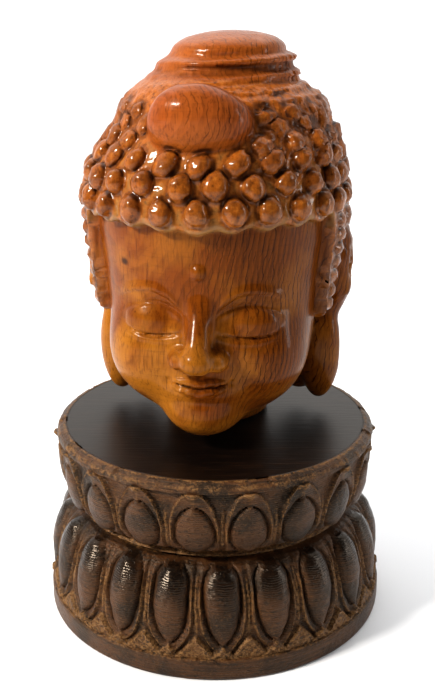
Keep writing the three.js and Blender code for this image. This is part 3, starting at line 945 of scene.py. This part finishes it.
@dataclass
class CarvedHead:
    """The head: one carving, drawn finely from the head's form."""

    form: HeadForm = field(default_factory=HeadForm)
    turn: float = math.radians(-7.5)
    voxel: float = 0.5
    front: float = -6.5
    name: str = "carved_buddha_head"

    def build(self) -> Piece:
        """Makes the head in its place on the stand.

        Returns:
            The finished piece.
        """
        self.form.place_curls()
        piece = Mesh.merge([self._block(), self._ear(1), self._ear(-1), *self._knobs()], self.name)
        Mesh.modify(piece, "REMESH", mode="VOXEL", voxel_size=self.voxel, adaptivity=0.0)
        self._settle(piece, 3)
        front = Mesh.read(piece.data.polygons, "center")[:, 1] < self.front
        log.info("head: %d faces, %d of them in front", len(front), int(front.sum()))
        Mesh.subdivide(piece, front)
        self._settle(piece, 3)
        self._annotate(piece)
        self._seat(piece)
        Mesh.smooth(piece, 80.0)
        return piece

    def _block(self) -> Piece:
        """The head without ears or curls."""
        ball = Mesh.sphere("block", 150, 120)
        self._draw(ball, (0.0, 0.0, 29.0), 16.0, self.form.block, 45.0)
        return ball

    def _ear(self, side: int) -> Piece:
        """One ear."""
        ball = Mesh.sphere("ear", 48, 48)
        self._draw(ball, (side * 17.0, 5.5, 16.4), 9.0, self.form.ear, 20.0)
        return ball

    @staticmethod
    def _draw(ball: Piece, middle: Triple, tall: float, form: Distance, reach: float) -> None:
        """Draws a ball in onto a form.

        Args:
            ball: A unit ball.
            middle: The middle of the upright line from which the rays start.
            tall: Half that line's length.
            form: Distance to the form.
            reach: How far out the walk along a ray begins.
        """
        ways = Mesh.read(ball.data.vertices)
        ways /= np.linalg.norm(ways, axis=1)[:, None]
        origins = np.zeros_like(ways) + np.array(middle)
        origins[:, 2] += tall * ways[:, 2]
        Mesh.place(ball, cast_rays(form, origins, ways, reach))

    def _knobs(self) -> list[Piece]:
        """The curls as plain balls, half sunk in the hair."""
        Mesh.pick()
        bpy.ops.mesh.primitive_ico_sphere_add(subdivisions=2, radius=1.0)
        pattern = bpy.context.object
        base = Mesh.read(pattern.data.vertices)
        knobs = []
        for centre, size in zip(self.form.curl_centres, self.form.curl_sizes):
            knob = pattern.copy()
            knob.data = pattern.data.copy()
            bpy.context.collection.objects.link(knob)
            Mesh.place(knob, base * 0.85 * size[:2].min() + centre)
            knobs.append(knob)
        bpy.data.objects.remove(pattern)
        return knobs

    def _settle(self, piece: Piece, rounds: int) -> None:
        """Lets every vertex settle onto the head's whole form."""
        points = Mesh.read(piece.data.vertices)
        near = self.form.near_curls(points)
        step = 0.02
        longest = 0.5
        for _ in range(rounds):
            gap = self.form.whole(points, near)
            slope = np.empty_like(points)
            for axis in range(3):
                slope[:, axis] = (self.form.whole(nudged(points, axis, step), near) - gap) / step
            steep = np.maximum((slope**2).sum(1), 0.25)
            move = -(0.85 * gap / steep)[:, None] * slope
            length = np.linalg.norm(move, axis=1)
            points += move * np.minimum(1.0, longest / np.maximum(length, 1e-9))[:, None]
        Mesh.place(piece, points)

    def _annotate(self, piece: Piece) -> None:
        """Notes on the mesh where creases and hair are, and where pale dust has stayed."""
        form = self.form
        points = Mesh.read(piece.data.vertices)
        normals = Mesh.read(piece.data.vertices, "normal")
        near = form.near_curls(points)
        # crease: how shut in each place is, read by the wood's finish for painted shade and more
        # roughness
        crease = np.zeros(len(points))
        for reach, share in ((0.5, 0.4), (1.0, 0.35), (2.0, 0.25)):
            clear = form.whole(points + reach * normals, near) / reach
            crease += share * np.clip(1.0 - clear, 0.0, 1.0)
        height = points[:, 2]
        edge = height - form.hair_edge(points)
        hair = smoothstep(edge, 0.0, 0.5) * smoothstep(form.jewel(points), 0.1, 0.7)
        hair *= smoothstep(form.ear(points), 0.1, 0.6)
        low = smoothstep(47.0 - height, 0.0, 4.0) * smoothstep(height, 30.5, 34.0)
        apart = form.curls(points, near)
        rim = bell(edge - 0.15, 0.4) * smoothstep(height, 30.5, 33.0)
        Mesh.note(
            piece,
            crease=crease,
            dust=np.clip(0.85 * (hair * low * smoothstep(apart, 0.15, 0.7)) + rim, 0.0, 1.0),
            # foot: the ring where each curl meets the hair, painted as shadow
            foot=hair * bell(apart - 0.12, 0.16),
            hair=hair * (0.3 + 0.7 * smoothstep(form.knot(points), 0.1, 0.7)),
        )

    def _seat(self, piece: Piece) -> None:
        """Brings the head from parts into its place on the stand."""
        low, high = (np.array(corner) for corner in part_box("buddha_head"))
        scale = (high[2] - low[2]) / self.form.crown
        points = Mesh.read(piece.data.vertices)
        upper = smoothstep(points[:, 2], 39.5, 45.0) - 0.35 * smoothstep(points[:, 2], 48.0, 52.0)
        points[:, 0] += self.form.lean * upper
        x, y, z = (points * scale).T
        c, s = math.cos(self.turn), math.sin(self.turn)
        seated = np.minimum(np.maximum(z, 0.0) + low[2], high[2])
        Mesh.place(piece, np.stack([c * x - s * y, s * x + c * y, seated], 1))


class Tier(Enum):
    """The stand's two rings of petals, by their number in its outline."""

    LOWER = 1
    UPPER = 2


@dataclass
class LotusStand:
    """The stand: one turning with a plate, two tiers of petals and a rough rim, in millimetres."""

    plate_radius: float = 27.0
    plate_height: float = 3.4
    lower_radius: float = 25.9
    lower_height: float = 13.4
    lower_petals: int = 21
    lower_turn: float = math.radians(2.5)
    waist_radius: float = 21.0
    waist_height: float = 1.6
    waist_lip: float = 0.7
    waist_bead: float = 0.8
    upper_radius: float = 24.3
    upper_height: float = 10.4
    upper_petals: int = 19
    upper_turn: float = math.radians(-7.3)
    rim_height: float = 1.5
    rim_radius: float = 24.9
    top_radius: float = 23.8
    foot_round: float = 0.5
    plate_round: float = 0.4
    roundness: float = 1.85
    crowding: float = 1.12
    grain_radius: float = 24.0
    columns: int = 798
    name: str = "carved_lotus_stand"

    @property
    def waist_bottom(self) -> float:
        """Height at which the lower tier ends."""
        return self.plate_height + self.lower_height

    @property
    def waist_top(self) -> float:
        """Height at which the upper tier starts."""
        return self.waist_bottom + self.waist_height

    @property
    def rim_bottom(self) -> float:
        """Height at which the rim starts."""
        return self.waist_top + self.upper_height

    @property
    def top(self) -> float:
        """Height of the stand."""
        return self.rim_bottom + self.rim_height

    def _ground(self, bulge: float, from_tip: Array) -> Array:
        """Radius of a tier's rounded ground, from the petals' tips to their roots."""
        neck = self.waist_radius + self.waist_lip
        share = np.maximum(1 - from_tip**self.roundness, 0.0) ** (1 / self.roundness)
        return neck + (bulge - neck) * share

    def profile(self) -> tuple[Array, Array]:
        """The stand's outline, row by row.

        Returns:
            (radius, height) pairs from the underside's middle to the top's, and for each whether
            its petals are the lower tier's (1), the upper tier's (2) or none (0).
        """
        plate, top, foot, edge = self.plate_radius, self.plate_height, self.foot_round, self.plate_round
        rows: list[tuple[float, float, int]] = [(0.0, 0.0, 0)]
        rows += [(share * (plate - foot), 0.0, 0) for share in (0.4, 0.8, 1.0)]
        rows += [
            (plate - foot + foot * math.sin(a), foot - foot * math.cos(a), 0) for a in (0.5, 1.0, 1.57)
        ]
        rows += [(plate, z, 0) for z in np.linspace(0.9, top - 0.5, 6)]
        rows += [
            (plate - edge + edge * math.cos(a), top - edge + edge * math.sin(a), 0) for a in (0.7, 1.57)
        ]
        rows += [(plate - 0.75, top, 0)]
        for share in np.linspace(0.0, 1.0, 46) ** self.crowding:
            radius = float(self._ground(self.lower_radius, share))
            rows.append((radius, top + share * self.lower_height, Tier.LOWER.value))
        for share in np.linspace(0.0, 1.0, 9):
            bead = self.waist_bead * float(bell(np.array(share - 0.42), 0.16))
            height = self.waist_bottom + share * self.waist_height
            rows.append((self.waist_radius + bead, height, 0))
        for share in 1.0 - np.linspace(1.0, 0.0, 38) ** self.crowding:
            radius = float(self._ground(self.upper_radius, 1.0 - share))
            rows.append((radius, self.waist_top + share * self.upper_height, Tier.UPPER.value))
        bevel = ((0.0, 0.0), (0.0, 0.3), (0.08, 0.6), (0.22, 0.85))
        bevel += ((0.42, 1.05), (0.5, 1.2), (0.8, 1.3), (1.1, 1.5))
        rows += [(self.rim_radius - inset, self.rim_bottom + rise, 0) for inset, rise in bevel]
        rows += [(r, self.top, 0) for r in (23.55, 23.3, 22.9, 21.5, 18.0, 13.0, 7.0, 0.0)]
        table = np.array(rows)
        return table[:, :2], table[:, 2].astype(int)

    @staticmethod
    def _leaf(along: Array, ends: tuple[float, float, float, float], power: float) -> Array:
        """Half width of a leaf.

        Args:
            along: From 0 at the petal's root to 1 at its tip.
            ends: Where the leaf starts, is full, narrows, and comes to its tip.
            power: How full the tip is.

        Returns:
            From 0 up to 1 and down again, round at the start and an ogive at the tip.
        """
        start, full, narrow, tip = ends
        opening = np.sqrt(1.0 - np.clip((full - along) / (full - start), 0.0, 1.0) ** 2)
        closing = (1.0 - np.clip((along - narrow) / (tip - narrow), 0.0, 1.0) ** 2) ** power
        return opening * closing

    def relief(self, across: Array, along: Array, tier: Tier) -> tuple[Array, Array, Array]:
        """A petal's relief.

        Args:
            across: From -1 to 1 between the petal's neighbours.
            along: From 0 at its root to 1 at its tip.
            tier: Which ring it belongs to.

        Returns:
            Millimetres outwards, and how worn and how polished the place is, each from 0 to 1.
        """
        u = np.abs(across)
        lower = tier is Tier.LOWER
        if lower:
            boss_width = 0.68 * self._leaf(along, (0.0, 0.2, 0.34, 0.85), 0.6)
            frame_width = 0.9 * self._leaf(along, (-0.3, 0.0, 0.5, 0.96), 0.6)
        else:
            boss_width = 0.7 * self._leaf(along, (0.02, 0.3, 0.32, 0.78), 0.62)
            frame_width = 0.9 * self._leaf(along, (-0.3, 0.0, 0.38, 1.03), 0.62)
        inside = np.clip(1.0 - (u / np.maximum(boss_width, 1e-3)) ** 2, 0.0, 1.0) * (boss_width > 0.03)
        full = (1.5, 0.55, 0.3) if lower else (1.05, 0.35, 0.3)
        boss = full[0] * inside**0.55 * (1.0 - full[1] * smoothstep(along, full[2], 0.95))
        edge = u - boss_width
        groove = 0.12 * bell(edge - 0.04, 0.055) * smoothstep(boss_width, 0.02, 0.12)
        beside = np.maximum(smoothstep(edge, 0.03, 0.13), 1.0 - smoothstep(boss_width, 0.0, 0.12))
        frame = 0.42 * smoothstep(frame_width - u, -0.03, 0.07) * beside
        lip = 0.2 * bell(u - frame_width + 0.06, 0.06) * smoothstep(along, 0.08, 0.3)
        spine = 0.3 * bell(u - 1.0, 0.07) * smoothstep(along, 0.04, 0.2)
        spine *= smoothstep(0.8 - along, 0.0, 0.25)
        height = boss + frame + lip + spine - groove
        outside = smoothstep(u - frame_width, -0.02, 0.08)
        wear = 0.8 * lip / 0.2 + 0.75 * spine / 0.3 + 0.3 * frame + 0.4 * bell(edge - 0.03, 0.05)
        if lower:
            between = (along - 0.76) / 0.2 - (1.0 - u) / 0.62
            under = (along - 0.87) / 0.12 - u / 0.5
            ledge = np.maximum(smoothstep(between, -0.08, 0.1), smoothstep(under, -0.08, 0.12))
            brink = np.maximum(bell(between - 0.06, 0.13), bell(under - 0.06, 0.13))
            brink *= smoothstep(along, 0.7, 0.8)
            ribs = 0.5 + 0.5 * np.cos((along + 0.3 * (1.0 - u)) * TURN / 0.09)
            height += ledge * (0.55 + 0.14 * ribs) + 0.22 * brink
            wear += 0.75 * brink + ledge * (0.3 + 0.3 * ribs)
            wear += 0.4 * outside * smoothstep(along, 0.15, 0.4)
            wear += 0.3 * inside * smoothstep(along, 0.3, 0.5) * smoothstep(0.8 - along, 0.0, 0.3)
        else:
            knob = np.exp(-((u / 0.2) ** 2) - ((along - 0.975) / 0.055) ** 2)
            height += 0.85 * knob - 0.16 * outside * smoothstep(along, 0.5, 0.8)
            wear += knob + 0.2 * outside
        polished = smoothstep(inside, 0.1, 0.6) * (1.0 - smoothstep(along, 0.12, 0.55))
        return height, np.clip(wear, 0.0, 1.0), polished if lower else 0.35 * polished

    def build(self) -> Piece:
        """Makes the stand.

        Returns:
            The finished piece.
        """
        outline, kinds = self.profile()
        last = len(outline) - 1
        piece = Mesh.sphere(self.name, self.columns, last)
        piece.data.name = self.name
        ball = Mesh.read(piece.data.vertices)
        row = np.round((1.0 - np.arccos(np.clip(ball[:, 2], -1, 1)) / math.pi) * last).astype(int)
        turn = np.arctan2(ball[:, 0], -ball[:, 1])
        radius, height = outline[row].T
        kind = kinds[row]
        level = self._around(self.grain_radius, turn, height)
        out, wear, polished = self._petals(turn, height, kind, level)
        no_petal = kind == 0
        on_top = height > self.top - 0.01
        rim = (height > self.rim_bottom - 0.01) & (radius > self.top_radius - 0.05)
        brink = on_top & (radius > self.top_radius - 0.6)
        waist = (height > self.waist_bottom - 0.01) & (height < self.waist_top + 0.01) & no_petal
        plate = (height < self.plate_height + 0.01) & (height > 0.3) & no_petal
        edge = plate & (height > self.plate_height - 0.45)
        rough = GRAIN.at(level, 0.9) + 0.6 * GRAIN.at(level + 40.0, 0.45)
        chips = smoothstep(GRAIN.at(level * np.array([1.0, 1.0, 0.4]) + 9.0, 2.3), 0.28, 0.42)
        out += np.where(rim, 0.1 * rough - 0.45 * chips * (height > self.rim_bottom + 0.7), 0.0)
        out += np.where(waist, 0.12 * rough, 0.0) - np.where(plate, 0.06 * np.abs(rough), 0.0)
        out += np.where(kind > 0, 0.055 * rough, 0.0)
        brow = bell(height - self.rim_bottom - 0.75, 0.2) * rim
        wear += rim * (0.28 + 0.35 * rough) + 0.5 * brow + 0.6 * brink
        wear += 0.9 * waist + 0.06 * plate + 0.55 * edge
        shaped = np.minimum(radius + out * (radius > 1.0), self.plate_radius)
        Mesh.place(piece, self._around(shaped, turn, height) * MM)
        Mesh.note(
            piece,
            wear=np.clip(wear, 0.0, 1.0),
            polished=polished,
            sides=kind > 0,
            disc=on_top & (radius < self.top_radius - 0.3),
            crease=self._creases(out, row, turn, kind),
        )
        Mesh.smooth(piece, 50.0)
        return piece

    @staticmethod
    def _around(radius: Array | float, turn: Array, height: Array) -> Array:
        """Points at a radius, an angle from straight ahead and a height."""
        return np.stack([radius * np.sin(turn), -radius * np.cos(turn), height], 1)

    def _petals(self, turn: Array, height: Array, kind: Array, level: Array) -> tuple[Array, ...]:
        """Both tiers' relief.

        Args:
            turn: Each place's angle from straight ahead.
            height: Its height.
            kind: Its tier's number, or 0.
            level: Where the grain's noise is read.

        Returns:
            Millimetres outwards, and how worn and how polished each place is.
        """
        out, wear, polished = np.zeros((3, len(turn)))
        lower = (self.lower_petals, self.lower_turn, self.waist_bottom, self.plate_height)
        upper = (self.upper_petals, self.upper_turn, self.waist_top, self.rim_bottom)
        for tier, (count, start, root, tip) in zip(Tier, (lower, upper)):
            chosen = kind == tier.value
            cell = (turn[chosen] - start) * count / TURN
            hand = 0.04 * GRAIN.at(level[chosen], 4.0) + 0.03 * GRAIN.at(level[chosen], 1.4)
            along = (height[chosen] - root) / (tip - root)
            across = 2.0 * (cell - np.round(cell)) + hand
            rise, wear[chosen], polished[chosen] = self.relief(across, along, tier)
            out[chosen] = rise * smoothstep(along, 0.0, 0.05)
        return out, wear, polished

    def _creases(self, out: Array, row: Array, turn: Array, kind: Array) -> Array:
        """How far each place lies under its surroundings, from 0 to 1."""
        column = np.round((turn / TURN) * self.columns).astype(int) % self.columns
        grid = np.zeros((row.max() + 1, self.columns))
        grid[row, column] = out
        around = grid.copy()
        for axis, shifts in ((1, (2, 5)), (0, (1, 3))):
            for shift in shifts:
                around += np.roll(grid, shift, axis) + np.roll(grid, -shift, axis)
        deep = around[row, column] / 9.0 - out
        return np.clip(deep / 0.35, 0.0, 1.0) * (kind > 0)


@dataclass(frozen=True)
class SoftBox:
    """A soft light: its place, where it aims, its width and height, its watts and colour."""

    name: str
    place: Triple
    aim: Triple
    sides: tuple[float, float]
    watts: float
    colour: Triple

    def hang(self) -> None:
        """Puts the light in the scene."""
        light = bpy.data.lights.new(self.name, "AREA")
        light.shape = "RECTANGLE"
        light.size, light.size_y = self.sides
        light.energy = self.watts
        light.color = self.colour
        lamp = bpy.data.objects.new(self.name, light)
        bpy.context.collection.objects.link(lamp)
        lamp.location = self.place
        way = Vector(self.aim) - Vector(self.place)
        lamp.rotation_euler = way.to_track_quat("-Z", "Y").to_euler()


@dataclass(frozen=True)
class Studio:
    """The floor, the light and the camera.

    The lens is in pixels of a frame 700 high, and the camera's place in radii of the stand.
    """

    front_glow: float = 0.08
    floor_glow: float = 0.03
    backdrop_glow: float = 1.05
    frame_height: float = 700.0
    focal_length: float = 1000.0
    frame_shift: float = 2.5
    camera_place: Triple = (0.0, -5.45, 3.43)
    camera_dip: float = 19.3
    boxes: tuple[SoftBox, ...] = (
        SoftBox("window", (-0.36, -0.20, 0.34), (0, 0, 0.05), (0.12, 0.055), 3.2, (1.0, 0.96, 0.91)),
        SoftBox("ceiling", (-0.1, 1.1, 1.3), (-0.1, 1.1, 0.0), (1.9, 1.9), 12.0, (1.0, 1.0, 1.0)),
        SoftBox("strip_right", (0.30, -0.04, 0.12), (0, 0, 0.06), (0.04, 0.2), 0.2, (0.95, 0.97, 1.0)),
    )

    def floor(self) -> Piece:
        """A plain pale floor."""
        Mesh.pick()
        bpy.ops.mesh.primitive_plane_add(size=1.9, location=(0, 0.35, 0))
        bpy.ops.object.transform_apply(location=True, rotation=True, scale=True)
        plane = bpy.context.object
        plane.name = "floor"
        paint = Paint(bpy.data.materials.new("pale_floor"))
        pale = {"Base_Color": (0.93, 0.935, 0.945), "Roughness": 0.6}
        glow = {"Emission_Color": (1.0, 1.0, 1.0), "Emission_Strength": self.floor_glow}
        surface = paint.add("ShaderNodeBsdfPrincipled", **pale, **glow)
        paint.add("ShaderNodeOutputMaterial", Surface=surface)
        plane.data.materials.append(paint.owner)
        plane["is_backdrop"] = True
        return plane

    def light(self) -> None:
        """A white backdrop behind, a dimmer room in front, and soft light from the upper left."""
        world = bpy.data.worlds.new("studio")
        bpy.context.scene.world = world
        paint = Paint(world)
        way = paint.add("ShaderNodeTexCoord", output="Generated")
        depth = paint.add("ShaderNodeSeparateXYZ", None, way, output="Y")
        glow = depth.between(-0.35, 0.35, self.front_glow, self.backdrop_glow)
        backdrop = paint.add("ShaderNodeBackground", Color=(1.0, 1.0, 1.0), Strength=glow)
        paint.add("ShaderNodeOutputWorld", Surface=backdrop)
        for box in self.boxes:
            box.hang()

    def camera(self) -> None:
        """The camera at the photograph's place: in front, a little above, close by."""
        lens = bpy.data.cameras.new("camera")
        lens.sensor_width = 36.0
        lens.lens = lens.sensor_width * self.focal_length / self.frame_height
        lens.shift_x = self.frame_shift / self.frame_height
        lens.clip_start = 0.01
        eye = bpy.data.objects.new("camera", lens)
        bpy.context.collection.objects.link(eye)
        eye.location = [radii * LotusStand.plate_radius * MM for radii in self.camera_place]
        eye.rotation_euler = (math.radians(90.0 - self.camera_dip), 0.0, 0.0)
        bpy.context.scene.camera = eye


def adopt(piece: Piece, node: str, material: bpy.types.Material) -> None:
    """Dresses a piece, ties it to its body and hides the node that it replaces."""
    piece.data.materials.clear()
    piece.data.materials.append(material)
    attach(piece, "root")
    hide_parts(node)
    piece.data.calc_loop_triangles()
    log.info("%s: %d triangles", piece.name, len(piece.data.loop_triangles))


def main() -> None:
    """Builds the scene in order."""
    logging.basicConfig(level=logging.INFO, format="%(name)s: %(message)s")
    scene = bpy.context.scene
    scene.view_settings.view_transform = "Standard"
    scene.view_settings.look = "Medium High Contrast"
    studio = Studio()
    studio.camera()
    studio.floor()
    studio.light()
    adopt(LotusStand().build(), "lotus_stand", DarkStainedWood().make())
    head = CarvedHead()
    adopt(head.build(), "buddha_head", PolishedHeartwood().make())
    boxes = {"cad": CAD_BOX, "visual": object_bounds()}
    boxes = {name: [list(corner) for corner in box] for name, box in boxes.items()}


if __name__ == "__main__":
    main()
